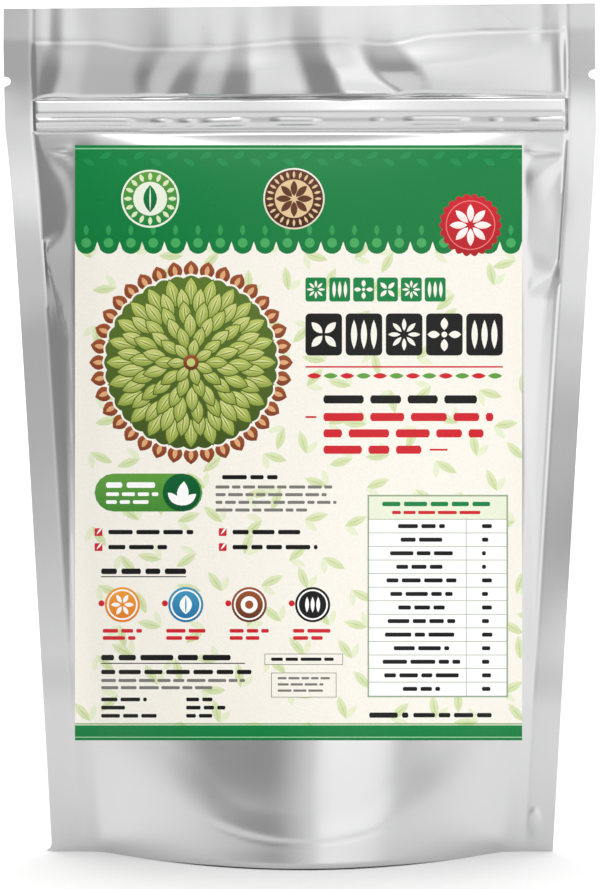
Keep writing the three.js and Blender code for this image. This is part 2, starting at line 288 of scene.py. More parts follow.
# The body between the label and the side seals lies in flat facets, split by a fold line.
# Each row is a height, the fold line's distance from the seal and how far the film has risen there.
SIDE_FOLDS = {
    ("front", -1): (
        (60, 0.8, 0.4), (93, 2.4, 1.1), (130, 4.0, 1.7), (159, 5.4, 2.1), (181, 0.6, 2.0),
        (186, 0.6, 2.0), (190, 6.0, 1.95), (197, 8.0, 1.8), (205, 7.0, 1.4), (210, 4.0, 0.9),
        (216, 1.5, 0.4), (222, 0.5, 0.0),
    ),
    ("front", 1): (
        (50, 1.6, 0.35), (95, 3.0, 1.05), (133, 4.8, 1.8), (160, 4.9, 2.0), (170, 4.5, 2.0),
        (182, 0.6, 2.5), (190, 0.6, 2.35), (200, 0.6, 2.0), (208, 0.6, 1.5), (216, 0.6, 0.7),
        (222, 0.5, 0.0),
    ),
    ("back", -1): (
        (50, 2.0, 0.8), (110, 4.5, 1.4), (150, 7.0, 2.2), (172, 1.0, 0.4), (196, 6.5, 1.8),
        (216, 0.5, 0.1),
    ),
    ("back", 1): (
        (60, 1.0, 0.4), (96, 5.0, 2.2), (128, 1.0, 0.5), (165, 6.5, 2.0), (185, 1.5, 0.4),
        (203, 5.0, 1.0), (216, 0.5, 0.1),
    ),
}
FACETS_END = {-1: 69.6, 1: 67.6}  # distance of the facets' inner border from the middle
FACETS_HEIGHTS = (46, 76)  # where they begin above the floor, and where they are complete
TUCK_SHARE = 0.28  # how much of the bulge is lost from under the label's edge to the facets
TUCK_SPAN = (62, 69.6)
TUCK_HEIGHTS = (50, 90)


def body_form(x, z, face):
    """The filled body: a crowned sheet, with flat facets beside each seal."""
    def crowned(across):
        tucked = TUCK_SHARE * ramp(*TUCK_SPAN, np.abs(across)) * ramp(*TUCK_HEIGHTS, z)
        return swell(z) * arch(across, z) * ramp(0, RIM_EASE, inset(across, z)) * (1 - tucked)

    form = crowned(x)
    s = inset(x, z)
    for side, end in FACETS_END.items():
        heights, places, rises = np.transpose(SIDE_FOLDS[face, side])
        fold = np.interp(z, heights, places)
        risen = np.interp(z, heights, rises)
        span = np.maximum(open_half(z) - end, fold + 0.5)
        top = crowned(side * (open_half(z) - span))
        rising = risen * s / fold
        beyond = risen + (top - risen) * (s - fold) / (span - fold)
        faceted = np.where(s < fold, rising, beyond)
        weight = ramp(*FACETS_HEIGHTS, z) * ((s > 0) & (s < span) & (x * side > 0))
        form = form + (faceted - form) * weight
    return form


# Small creases that fan out from a point by a side seal. Each fan is that point, the angles above
# the horizontal of its ridges and valleys, their rise per millimetre from the point, and its reach.
CREASE_FANS = {
    "front": (
        ((-79.5, 215.8), (-60, -37, -26, -11, 2, 14), (0, -0.02, 0.035, -0.03, 0.03, 0), 18),
        ((81.3, 214.5), (-62, -34, -5, 3, 14), (0, 0.05, -0.04, 0.03, 0), 20),
        ((78.2, 178.6), (-80, -52, -30, 8, 40), (0, -0.02, 0.035, -0.03, 0), 15),
    ),
    "back": (
        ((-80.5, 213), (-80, -55, -30, -10, 12), (0, 0.08, -0.08, 0.08, 0), 26),
        ((80.5, 214), (-85, -62, -38, -14, 8), (0, -0.06, 0.1, -0.07, 0), 26),
    ),
}


def fan(x, z, point, angles, slopes, reach):
    """Flat sectors that spread inward from a point on a side seal."""
    across = np.sign(point[0]) * (point[0] - x)
    up = z - point[1]
    away = np.hypot(across, up)
    angle = np.degrees(np.arctan2(up, across))
    fade = ramp(0, 1.5, inset(x, z)) * (1 - ramp(reach * 0.45, reach, away))
    return away * np.interp(angle, angles, slopes) * fade


def side_creases(x, z, face):
    """Smaller creases in the strips between the label and the side seals."""
    strip = ramp(0, 2, np.abs(x) - np.where(x < 0, FACETS_END[-1], FACETS_END[1]))
    creases = sum(fan(x, z, *row) for row in CREASE_FANS[face])
    if face == "front":
        # A shallow dimple beside the label's upper right corner
        creases = creases - 0.15 * bump(x - 77.5, 3.4) * bump(z - 198.5, 6.5)
    return strip * creases


def base_creases(x, z):
    """The film is pressed in along the curved bottom seal and stands proud just above it."""
    above = z - bottom_seal(x, z)
    near = 1 - ramp(0, 12, np.abs(x - 1) - np.where(x < 0, 22, 18))
    puff = 0.04 * (1 - np.exp(-np.maximum(above, 0))) * (1 - ramp(1, 5, above))
    pressed = 0.05 * bump(above + 0.3, 0.6)
    return near * (puff - pressed)


def corner_spot(x, z):
    """A low weld spot near the right bottom corner, where the gusset is punched through."""
    away = np.hypot((x - open_half(10) - 2.2) / 2.4, (z - 9.5) / 5.2)
    return 0.25 * (1 - ramp(0.45, 1, away))


def outer_depth(x, z, face):
    """From the middle of the pouch to the outside of its front or back film."""
    inside = inset(x, z)
    # The gusset's two layers lie between the films up to the bottom seal
    ease_out = 9 + 7 * ramp(18, 34, np.abs(x))
    above_seal = (z - bottom_seal(x, z)) / ease_out
    layers = 2 * (GUSSET_FILM + SEAL_AIR) * (1 - ramp(0, 1, above_seal))
    free = ramp(0, 1.2, inside)
    form = body_form(x, z, face) + side_creases(x, z, face) + base_creases(x, z)
    form = form + free * (zip_form(x, z) + header_form(x, z, face))
    seal_groove = 0.1 * bump(inside - 0.3, 0.45) * ramp(2, 8, z) * (inside > -1)
    off_zip = 1 - ramp(212, 220, z) + ramp(233, 240, z)
    uneven = 0.2 * waves(x, z, 26, 11 if face == "front" else 12) * ramp(1, 12, inside)
    uneven = uneven * ramp(4, 30, z) * off_zip
    # The cut edge at the foot turns in a little
    hem = 0.4 * np.clip(1 - z / 1.3, 0, 1) ** 2 * ramp(2, 10, inside)
    return SEAL_AIR + FILM + layers + form + uneven - seal_groove - hem + corner_spot(x, z)


# How far the outer edge of each side seal is bent back, at a few heights
BEND_HEIGHTS = (0, 28, 52, 85, 128, 158, 176, 204, 222, 240, 260)
LEFT_BEND = (0.0, -0.1, -0.2, -0.2, 0.2, 0.2, -0.5, -1.4, -1.1, 0.3, 0.4)
RIGHT_BEND = (0.0, -0.3, -0.4, -1.0, -0.5, 0.1, 0.4, 0.5, 1.0, -0.3, -0.2)

# Small dents in the top seal: where each one is, its half width and how far it goes back
TOP_DENTS = ((-76, 1.6, 0.2), (-71.5, 2.2, -0.2), (73.5, 1.8, 0.2))
TOP_LEAN = 0.18  # how far the top seal leans back per millimetre of its height


def middle(x, z):
    """y of the surface halfway between the two films."""
    flap = np.clip(-inset(x, z) / SIDE_SEAL, 0, 1)
    left, right = (through(z, BEND_HEIGHTS, bend) for bend in (LEFT_BEND, RIGHT_BEND))
    ripple = 0.4 * waves(x, z * 0.3, 24, 7) * ramp(228, 256, z)
    dents = sum(depth * bump(x - place, half) for place, half, depth in TOP_DENTS)
    past_edge = z - top_seal_edge(x)
    lean = TOP_LEAN * (past_edge + np.hypot(past_edge, 1.0)) / 2
    folds = header_folds(x, z, "front") * in_top_seal(x, z)
    return flap * np.where(x < 0, left, right) + ripple + lean + dents * ramp(246, 252, z) - folds


def skewed(x, z):
    """The header sits a little to the left of the base, and its top edge is slightly crumpled down
    and rises to the right. The middle of the bottom rim is just clear of the floor."""
    to_left = 1.0 * ramp(195, 250, z)
    tilt = 0.85 * x / 90 * ramp(205, 260, z)
    crumple = 0.8 * ramp(232, 260, z)
    rim_lift = 0.45 * (1 - ramp(0, 6, z)) * (1 - ramp(20, 55, np.abs(x)))
    return x - to_left, z + tilt - crumple + rim_lift


def film_point(x, z, face, lift=0):
    """Points on a film's outside, or lift beyond it, as an array of x, y, z."""
    sign = -1 if face == "front" else 1
    y = middle(x, z) + sign * (outer_depth(x, z, face) + lift)
    shown_x, shown_z = skewed(x, z)
    return np.stack([shown_x, y, shown_z], axis=-1)


def seen_film_point(u, v, lift, rounds=10):
    """Points on the front film that the camera sees at u, v in the plane through its aim."""
    pitch = math.radians(CAMERA_PITCH)
    camera_at = np.array([CAMERA_AIM_X, -CAMERA_DISTANCE, CAMERA_HEIGHT])
    drop = CAMERA_DISTANCE * math.tan(pitch)
    ray = np.stack([u, CAMERA_DISTANCE + v * math.sin(pitch), v * math.cos(pitch) - drop], -1)
    x, z = u.copy(), CAMERA_AIM_Z + v
    for _ in range(rounds):
        point = film_point(x, z, "front", lift)
        sight = camera_at + ray * ((point[:, 1] - camera_at[1]) / ray[:, 1])[:, None]
        x += sight[:, 0] - point[:, 0]
        z += sight[:, 2] - point[:, 2]
    return film_point(x, z, "front", lift)


# Artwork for the label: flat shapes laid over one another, in millimetres from its top left corner

CREAM = (244, 240, 230)
GREEN = (14, 130, 66)
GREEN_SHADE = (10, 122, 60)
DEEP_GREEN = (8, 98, 50)
LEAF_GREEN = (96, 158, 62)
MINT = (150, 205, 160)
PALE_GREEN = (234, 240, 222)
SPRIG_GREEN = (221, 229, 190)
RULE_GREY = (168, 178, 160)
HUSK = (196, 203, 118)
HUSK_LIGHT = (226, 229, 160)
HUSK_MID = (170, 184, 92)
HUSK_SHADE = (140, 158, 66)
OLIVE = (92, 118, 44)
TERRACOTTA = (158, 82, 46)
BROWN = (96, 54, 34)
SAND = (226, 196, 150)
RED = (206, 32, 44)
ORANGE = (240, 156, 52)
BLUE = (64, 150, 190)
INK = (16, 16, 17)
GREY = (122, 120, 116)
WHITE = (252, 252, 250)

UP = -math.pi / 2
DOWN = math.pi / 2


def disc(a, b, radius, sides=28):
    turns = np.arange(sides) * 2 * math.pi / sides
    return np.stack([a + radius * np.cos(turns), b + radius * np.sin(turns)], -1)


def petal(a, b, length, width, turn, sides=7):
    """A pointed oval that starts at a, b and runs in the direction of turn."""
    t = np.linspace(0, 1, sides)
    half = width / 2 * np.sin(math.pi * t) ** 0.8
    along = np.concatenate([t, t[-2:0:-1]]) * length
    aside = np.concatenate([half, -half[-2:0:-1]])
    cos, sin = math.cos(turn), math.sin(turn)
    return np.stack([a + along * cos - aside * sin, b + along * sin + aside * cos], -1)


def scalloped(a, b, radius, lobes, depth):
    """A disc with a wavy edge."""
    turns = np.arange(lobes * 6) * 2 * math.pi / (lobes * 6)
    r = radius - depth * (1 - np.abs(np.cos(turns * lobes / 2)))
    return np.stack([a + r * np.cos(turns), b + r * np.sin(turns)], -1)


def bar(a, b, length, height):
    """A strip with rounded ends, centred on the height b."""
    r = height / 2
    cut = r * 0.4
    return np.array([
        (a + cut, b - r), (a + length - cut, b - r), (a + length, b - cut), (a + length, b + cut),
        (a + length - cut, b + r), (a + cut, b + r), (a, b + cut), (a, b - cut),
    ])


def box(a, b, width, drop, corner=0.0):
    """A rectangle from its top left corner, with rounded corners if asked."""
    if corner == 0:
        return np.array([(a, b), (a + width, b), (a + width, b + drop), (a, b + drop)])
    left, right = a + corner, a + width - corner
    top, foot = b + corner, b + drop - corner
    points = []
    for ca, cb, start in ((right, top, -90), (right, foot, 0), (left, foot, 90), (left, top, 180)):
        for k in range(5):
            turn = math.radians(start + 22.5 * k)
            points.append((ca + corner * math.cos(turn), cb + corner * math.sin(turn)))
    return np.array(points)


def with_short_sides(points):
    """The same outline with its long sides divided, so that it can bend with the film."""
    divided = []
    for start, end in zip(points, np.roll(points, -1, axis=0)):
        count = max(1, math.ceil(math.dist(start, end) / LABEL_GRID))
        divided.extend(start + (end - start) * k / count for k in range(count))
    return np.array(divided)


class Artwork:
    """Shapes in the order they are laid down; each later shape hides what it covers."""

    def __init__(self):
        self.shapes = []
        self.rng = random.Random(21)

    def lay(self, points, colour, shade=None):
        """shade, if given, is a second colour that the shape fades to, toward its lower edge."""
        points = np.asarray(points, float)
        after = np.roll(points, -1, axis=0)
        area = (points[:, 0] * after[:, 1] - after[:, 0] * points[:, 1]).sum()
        if area < 0:
            points = points[::-1]
        self.shapes.append((with_short_sides(points), colour, shade or colour))

    def discs(self, a, b, *rows):
        """Discs round one centre, each with its radius, number of sides and colours."""
        for radius, sides, *colours in rows:
            self.lay(disc(a, b, radius, sides), *colours)

    def flower(self, a, b, petals, start, length, width, colour, shade=None, turn=0.0):
        """Petals that begin at the distance start from a, b and point away from it."""
        for k in range(petals):
            direction = turn + k * 2 * math.pi / petals
            at_a, at_b = a + start * math.cos(direction), b + start * math.sin(direction)
            self.lay(petal(at_a, at_b, length, width, direction), colour, shade)

    def lines(self, a, b, lengths, height, colour, gap=0):
        """Rows of bars that stand in for copy: each row is broken into words."""
        for row, length in enumerate(lengths):
            at = a
            while at < a + length - 1:
                word = min(self.rng.uniform(2.2, 6.5) * height, a + length - at)
                self.lay(bar(at, b + row * gap, word, height), colour)
                at += word + 0.8 * height


def draw_ground(art):
    """Cream paper with rows of pale sprigs strewn over it."""
    scatter = art.rng.uniform
    art.lay(box(0, 0, LABEL_WIDTH, LABEL_DROP), CREAM)
    for row in range(15):
        for column in range(11):
            a = 6 + column * 13 + (6.5 if row % 2 else 0) + scatter(-1.5, 1.5)
            b = 34 + row * 10.2 + scatter(-1.5, 1.5)
            turn = scatter(0, 2 * math.pi)
            art.lay(petal(a, b, 7.4, 2.7, turn, 6), SPRIG_GREEN, (206, 219, 166))
            art.lay(petal(a, b, 5.2, 2.0, turn + 1.0, 5), (228, 235, 203))
            art.lay(petal(a, b, 6.6, 0.5, turn, 3), (196, 211, 152))


def draw_bands(art):
    """A green band with a scalloped lower edge along the top, and a thin one along the foot."""
    edge, pitch, depth = 29.5, 6.84, 4.2
    count = round(LABEL_WIDTH / pitch)
    lower = []
    for k in range(count):
        for step in range(8):
            t = step / 8
            hang = depth * math.sqrt(1 - (2 * t - 1) ** 2) * 0.9
            lower.append((LABEL_WIDTH - (k + t) * pitch, edge + hang))
    lower.append((0, edge))
    art.lay([(0, 0), (LABEL_WIDTH, 0)] + lower, GREEN, GREEN_SHADE)
    for k in range(count):
        art.lay(disc((k + 0.5) * pitch, edge + 0.4, 1.5, 12), (70, 168, 92))
        art.lay(petal((k + 0.5) * pitch, edge - 5.2, 3.4, 1.6, DOWN, 5), (52, 156, 84))
    for k in range(27):
        art.lay(petal(2.5 + k * 5.1, 4.2, 4.2, 1.9, -0.5 if k % 2 else 0.5, 5), (26, 142, 76))
    art.lay(box(0, 0.9, LABEL_WIDTH, 0.35), MINT)
    art.lay(box(0, LABEL_DROP - 4.6, LABEL_WIDTH, 4.6), GREEN, (10, 120, 60))
    art.lay(box(0, LABEL_DROP - 5.2, LABEL_WIDTH, 0.35), LEAF_GREEN)
    art.lay(box(0, LABEL_DROP - 1.1, LABEL_WIDTH, 0.3), MINT)


# Rings of the rosette: petals, where they start, their length and width, and the ring's turn
ROSETTE_RINGS = (
    (24, 17.2, 9.2, 4.6, 0.0), (24, 14.2, 9.0, 4.3, 0.131), (18, 10.6, 8.6, 4.4, 0.05),
    (14, 7.2, 8.2, 4.2, 0.2), (10, 4.0, 7.6, 4.0, 0.0), (7, 1.2, 6.4, 3.6, 0.4),
)


def draw_rosette(art, a, b):
    """The main ornament: rings of husk-coloured petals inside a fringe of terracotta ones."""
    art.flower(a, b, 36, 25.4, 5.8, 4.6, TERRACOTTA, (128, 62, 36))
    art.flower(a, b, 36, 26.6, 3.4, 1.5, (222, 168, 120))
    art.lay(scalloped(a, b, 27.2, 36, 0.8), CREAM)
    art.lay(scalloped(a, b, 26.6, 36, 0.8), OLIVE, (64, 84, 30))
    for index, (petals, start, length, width, turn) in enumerate(ROSETTE_RINGS):
        skin = (206, 211, 128) if index % 2 else (186, 197, 102)
        art.flower(a, b, petals, start, length, width, OLIVE, (74, 96, 34), turn)
        art.flower(a, b, petals, start + 0.4, length - 0.9, width * 0.84, skin, HUSK_SHADE, turn)
        art.flower(a, b, petals, start + 1.2, length - 2.6, width * 0.3, HUSK_LIGHT, HUSK_MID, turn)
        art.flower(a, b, petals, start + 0.8, length - 1.8, 0.34, (120, 138, 54), turn=turn)
    art.discs(a, b, (2.4, 18, TERRACOTTA, BROWN), (1.3, 12, HUSK))


def draw_tile(art, a, b, size, colour, pattern):
    """A square ornament tile with a pattern cut out of it."""
    art.lay(box(a, b, size, size * 1.15, size * 0.12), colour)
    ca, cb = a + size / 2, b + size * 0.575
    if pattern == "cross":
        art.flower(ca, cb, 4, size * 0.05, size * 0.42, size * 0.2, CREAM, turn=math.pi / 4)
    elif pattern == "star":
        art.flower(ca, cb, 8, size * 0.1, size * 0.34, size * 0.12, CREAM)
    elif pattern == "leaves":
        for k in (-1, 0, 1):
            at_a, at_b = ca + k * size * 0.27, cb - size * 0.4
            art.lay(petal(at_a, at_b, size * 0.8, size * 0.17, DOWN), CREAM)
    else:
        art.flower(ca, cb, 4, size * 0.12, size * 0.34, size * 0.2, CREAM)
        art.lay(disc(ca, cb, size * 0.08, 10), CREAM)


TITLE_LEFT = 70.5


def draw_title(art):
    """Two rows of ornament tiles, a small green one over a large black one, on the right."""
    for k, pattern in enumerate(("star", "leaves", "blossom", "cross", "star", "leaves")):
        draw_tile(art, TITLE_LEFT + k * 7.3, 40.5, 6.4, GREEN, pattern)
    for k, pattern in enumerate(("cross", "leaves", "star", "blossom", "leaves")):
        draw_tile(art, TITLE_LEFT + k * 12.3, 51.5, 11.2, INK, pattern)
    art.lay(box(TITLE_LEFT, 67.6, 60.4, 0.5), RED)
    for k in range(12):
        art.lay(petal(71.0 + k * 5.03, 70.6, 4.4, 1.7, 0.0), LEAF_GREEN if k % 2 else RED)


def draw_lead(art):
    """One black row and three red ones under the title, with a dash before and a dash after."""
    art.lines(76, 77.8, (47,), 2.5, INK)
    art.lines(76, 83.2, (52, 49), 2.5, RED, 5.0)
    art.lines(76, 93.2, (30,), 2.5, RED)
    art.lay(bar(TITLE_LEFT, 83.2, 3.4, 0.6), RED)
    art.lay(bar(108.5, 93.2, 5.5, 0.6), RED)


def draw_panel(art):
    """A green panel with a sprig under the rosette, and small rows beside it."""
    art.lay(box(6, 100.5, 33, 11.6, 5.8), LEAF_GREEN, (66, 138, 52))
    art.lay(disc(32.6, 106.3, 5.8, 26), DEEP_GREEN, (6, 84, 44))
    for a, b, length, width, turn in (
        (32.6, 110.4, 7.6, 3.6, 0.1), (32.4, 110.2, 5.6, 2.4, -0.8), (32.7, 110.2, 5.6, 2.4, 0.9),
    ):
        art.lay(petal(a, b, length, width, UP + turn), WHITE)
    art.lines(9.5, 104.0, (15,), 1.7, WHITE)
    art.lines(9.5, 106.8, (16, 13), 1.1, WHITE, 2.4)
    art.lines(45, 101.6, (17,), 1.3, INK)
    art.lines(43, 104.6, (36, 34, 37, 28), 0.95, GREY, 2.35)


def draw_points(art):
    """Four short points with red marks."""
    for k in range(4):
        a, b = 6 + (k % 2) * 38, 118.4 + (k // 2) * 4.6
        art.lay(box(a, b - 1.2, 2.4, 2.4, 0.3), RED)
        art.lay(petal(a + 0.6, b + 0.7, 2.9, 0.6, -0.9), WHITE)
        art.lines(a + 4.2, b, (26 - 4 * (k % 3),), 1.35, INK)


def draw_icon(art, a, b, colour, shade, pattern):
    """A round icon with a ring inside its edge, and a red dot beside it."""
    art.discs(a, b, (5.4, 30, colour, shade), (4.7, 28, WHITE), (4.2, 26, colour, shade))
    if pattern == "blossom":
        art.flower(a, b, 6, 0.6, 2.9, 1.3, WHITE)
    elif pattern == "leaf":
        art.lay(petal(a, b + 2.9, 5.8, 3.8, UP, 9), WHITE)
        art.lay(petal(a, b + 2.6, 5.0, 0.5, UP), colour)
    elif pattern == "ring":
        art.discs(a, b, (2.6, 20, WHITE), (1.3, 14, colour))
    else:
        for k in (-1, 0, 1):
            art.lay(petal(a + k * 1.7, b + 2.4, 4.8, 1.2, UP), WHITE)
    art.lay(disc(a - 6.4, b - 0.4, 0.95, 12), RED)


ICONS = (
    (ORANGE, (222, 126, 30), "blossom"),
    (BLUE, (36, 116, 164), "leaf"),
    (TERRACOTTA, BROWN, "ring"),
    (INK, INK, "leaves"),
)


def draw_icons(art):
    """A headed row of round icons, each with two short rows under it."""
    art.lines(8, 130.4, (26,), 1.7, INK)
    art.lay(box(8, 131.9, 26, 0.3), INK)
    for k, (colour, shade, pattern) in enumerate(ICONS):
        a = 14.5 + k * 19.4
        draw_icon(art, a, 140.6, colour, shade, pattern)
        art.lines(a - 6, 148.6, (12, 10), 1.15, RED, 2.2)


def draw_foot(art):
    """Headed rows, two outlined boxes and short lists along the foot."""
    art.lines(8, 156.8, (40,), 1.7, INK)
    art.lay(box(8, 158.4, 44, 0.3), INK)
    art.lines(8, 161.2, (46,), 1.35, INK)
    art.lines(8, 163.8, (44, 34), 0.95, GREY, 2.2)
    for a, b, width, drop in ((58, 155.6, 24, 3.4), (60, 161.4, 20, 7.6)):
        art.lay(box(a, b, width, drop), GREY)
        art.lay(box(a + 0.2, b + 0.2, width - 0.4, drop - 0.4), CREAM)
    art.lines(60, 157.3, (20,), 1.0, INK)
    art.lines(62, 163.1, (16, 14, 15), 0.7, GREY, 1.9)
    for a, lengths in ((8, (14, 9, 17)), (34, (9, 12, 8))):
        art.lines(a, 169.6, lengths, 1.15, INK, 2.5)
    art.lines(90, 174.4, (12,), 1.6, INK)
    art.lines(103.5, 174.4, (24,), 1.35, INK)


def draw_table(art, a, b):
    """A white ruled table with a pale green head."""
    width, head, rows, gap, rule = 42, 7, 13, 4.15, 0.24
    drop = head + rows * gap
    art.lay(box(a - 0.5, b - 0.5, width + 1, drop + 1), (150, 168, 140))
    art.lay(box(a, b, width, drop), WHITE)
    art.lay(box(a, b, width, head), (232, 238, 214))
    art.lines(a + 4, b + 2.3, (33,), 1.35, GREEN)
    art.lines(a + 7, b + 4.9, (27,), 1.0, RED)
    for row in range(rows):
        top = b + head + row * gap
        art.lay(box(a, top - rule / 2, width, rule), RULE_GREY)
        length = art.rng.uniform(11, 24)
        art.lines(a + 15 - length / 2 + 1, top + gap / 2, (length,), 1.25, INK)
        art.lay(bar(a + 34.5, top + gap / 2, art.rng.uniform(1.2, 3.4), 1.25), INK)
    art.lay(box(a + 29.6, b + head, rule, drop - head), RULE_GREY)


def draw_red_seal(art, a, b):
    """A red scalloped rosette that laps over the band's edge."""
    art.lay(scalloped(a, b, 9.6, 22, 0.9), RED, (170, 20, 32))
    art.discs(a, b, (7.6, 30, (238, 120, 120)), (7.3, 30, RED, (182, 24, 36)))
    art.flower(a, b, 8, 1.0, 5.4, 2.2, WHITE, (246, 222, 216))


def draw_brown_flower(art, a, b):
    """A flower with a brown ring of small petals round it."""
    art.discs(a, b, (9.4, 40, CREAM, (226, 214, 190)), (8.9, 40, BROWN, (70, 38, 24)), (5.9, 32, SAND))
    art.flower(a, b, 24, 6.3, 2.2, 0.8, SAND)
    art.flower(a, b, 8, 0.8, 4.8, 2.1, BROWN)


def draw_garland(art, a, b):
    """A leaf inside a pale green wreath."""
    art.discs(a, b, (8.9, 40, PALE_GREEN), (8.3, 36, LEAF_GREEN, GREEN), (5.2, 28, PALE_GREEN))
    art.flower(a, b, 16, 5.5, 2.6, 1.3, (218, 232, 190))
    art.lay(petal(a, b + 4.2, 8.4, 4.2, UP), GREEN, DEEP_GREEN)
    art.lay(petal(a, b + 3.8, 7.4, 0.5, UP), PALE_GREEN)


def label_shapes():
    art = Artwork()
    draw_ground(art)
    draw_bands(art)
    draw_rosette(art, 35.5, 66.5)
    draw_title(art)
    draw_lead(art)
    draw_panel(art)
    draw_points(art)
    draw_icons(art)
    draw_foot(art)
    draw_table(art, 90, 107.5)
    draw_red_seal(art, 121, 24.5)
    draw_brown_flower(art, 67, 16.4)
    draw_garland(art, 23, 16.4)
    return art.shapes


# Meshes

def make_object(name, points, faces, material, sharp_angle=35):
    mesh = bpy.data.meshes.new(name)
    mesh.from_pydata((np.asarray(points) * MM).tolist(), [], faces)
    mesh.update()
    mesh.shade_smooth()
    mesh.set_sharp_from_angle(angle=math.radians(sharp_angle))
    piece = bpy.data.objects.new(name, mesh)
    bpy.context.collection.objects.link(piece)
    mesh.materials.append(material)
    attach(piece, "root")
    return piece


def sheet_faces(rows, columns):
    """Quads of a closed sheet: its near side, its far side and its rim."""
    count = rows * columns
    index = np.arange(count).reshape(rows, columns)
    corners = (index[:-1, :-1], index[:-1, 1:], index[1:, 1:], index[1:, :-1])
    near = np.stack(corners, -1).reshape(-1, 4)
    far = near[:, [0, 3, 2, 1]] + count
    rim = np.concatenate([index[0], index[1:, -1], index[-1, -2::-1], index[-2:0:-1, 0]])
    after = np.roll(rim, -1)
    across_rim = np.stack([rim, rim + count, after + count, after], -1)
    return np.concatenate([near, far, across_rim]).tolist()


def sheet_object(name, near, far, material):
    """A closed sheet between two (rows, columns, 3) grids of points.
    near faces the viewer when its columns run to the right and its rows run up."""
    rows, columns = near.shape[:2]
    points = np.concatenate([near.reshape(-1, 3), far.reshape(-1, 3)])
    return make_object(name, points, sheet_faces(rows, columns), material)


def steps(*stops):
    """Values from stop to stop: each stop is (value, spacing up to the next one)."""
    values = []
    for (start, spacing), (end, _) in zip(stops, stops[1:]):
        count = max(1, round((end - start) / spacing))
        values.extend(np.linspace(start, end, count, endpoint=False))
    return np.array(values + [stops[-1][0]])


# A place runs across the pouch from -1 to 1, the same at every height
MIDDLE_PLACE = 0.66  # up to here the columns lie further apart
EASE_PLACE = 0.85  # where the film begins to turn in to the side seal
SEAL_PLACE = 0.9  # the inner edge of the side seal
EASE_COLUMNS = 6


def seal_edge(z, side):
    """Outer edge of a side seal, with its tear notch."""
    from_notch = z - NOTCH_HEIGHTS[side]
    straight = NOTCH_DEPTH - NOTCH_RADIUS
    bite = np.sqrt(np.maximum(NOTCH_RADIUS ** 2 - from_notch ** 2, 0))
    return half_width(z) - np.where(np.abs(from_notch) < NOTCH_RADIUS, straight + bite, 0)


def across_at(place, z):
    """x of each place at its height."""
    p = np.abs(place)
    seal = open_half(z)
    ease = seal - RIM_EASE
    edge = np.where(place < 0, seal_edge(z, -1), seal_edge(z, 1))
    in_ease = (p - EASE_PLACE) / (SEAL_PLACE - EASE_PLACE)
    in_seal = (p - SEAL_PLACE) / (1 - SEAL_PLACE)
    x = np.where(p <= EASE_PLACE, ease * p / EASE_PLACE, ease + RIM_EASE * in_ease)
    x = np.where(p > SEAL_PLACE, seal + (edge - seal) * in_seal, x)
    return np.sign(place) * x


def film_places(middle_columns, side_columns, seal_columns):
    half = np.concatenate([
        np.linspace(0, MIDDLE_PLACE, middle_columns, endpoint=False),
        np.linspace(MIDDLE_PLACE, EASE_PLACE, side_columns, endpoint=False),
        np.linspace(EASE_PLACE, SEAL_PLACE, EASE_COLUMNS, endpoint=False),
        np.linspace(SEAL_PLACE, 1, seal_columns),
    ])
    return np.concatenate([-half[:0:-1], half])


NOTCH_ROWS = (-1, -0.95, -0.8, -0.4, 0, 0.4, 0.8, 0.95, 1)  # in radii from the notch's middle
ROW_CLEARANCE = 0.12


def film_rows(scale):
    """Heights of a film's rows, closest where it is most creased, and dense at the tear notches."""
    plain = steps(
        (0, 0.4 * scale), (1.2, 0.8 * scale), (22, 1.2 * scale), (46, 2.2 * scale), (150, 1.3 * scale),
        (214, 0.6 * scale), (221, 0.3 * scale), (232, 0.6 * scale), (253, 1.2 * scale), (HEIGHT, 1),
    )
    notches = [middle + NOTCH_RADIUS * d for middle in NOTCH_HEIGHTS.values() for d in NOTCH_ROWS]
    clear = [z for z in plain if all(abs(z - n) > ROW_CLEARANCE for n in notches)]
    return np.array(sorted(clear + notches))


def film(face, material, scale, middle_columns, side_columns, seal_columns):
    z = film_rows(scale)[:, None]
    x = across_at(film_places(middle_columns, side_columns, seal_columns), z)
    z = np.broadcast_to(z, x.shape)
    outer = film_point(x, z, face)
    inner = film_point(x, z, face, -FILM)
    if face == "back":
        # The back film's bottom corner on the left peeps out as a small lip
        lip = 1.9 * bump(z, 1.0) * ramp(0.6, 1, -inset(x, z) / SIDE_SEAL) * (x < 0)
        outer[..., 0] -= lip
        inner[..., 0] -= lip
        outer, inner = outer[:, ::-1], inner[:, ::-1]
    return sheet_object(f"{face}_film", outer, inner, material)


GUSSET_SAG = 2.4  # how far the gusset hangs below its seals at the middle
GUSSET_SIDE_SAG = 9
GUSSET_LEG_ROWS = 10
GUSSET_TOP_ROWS = 36


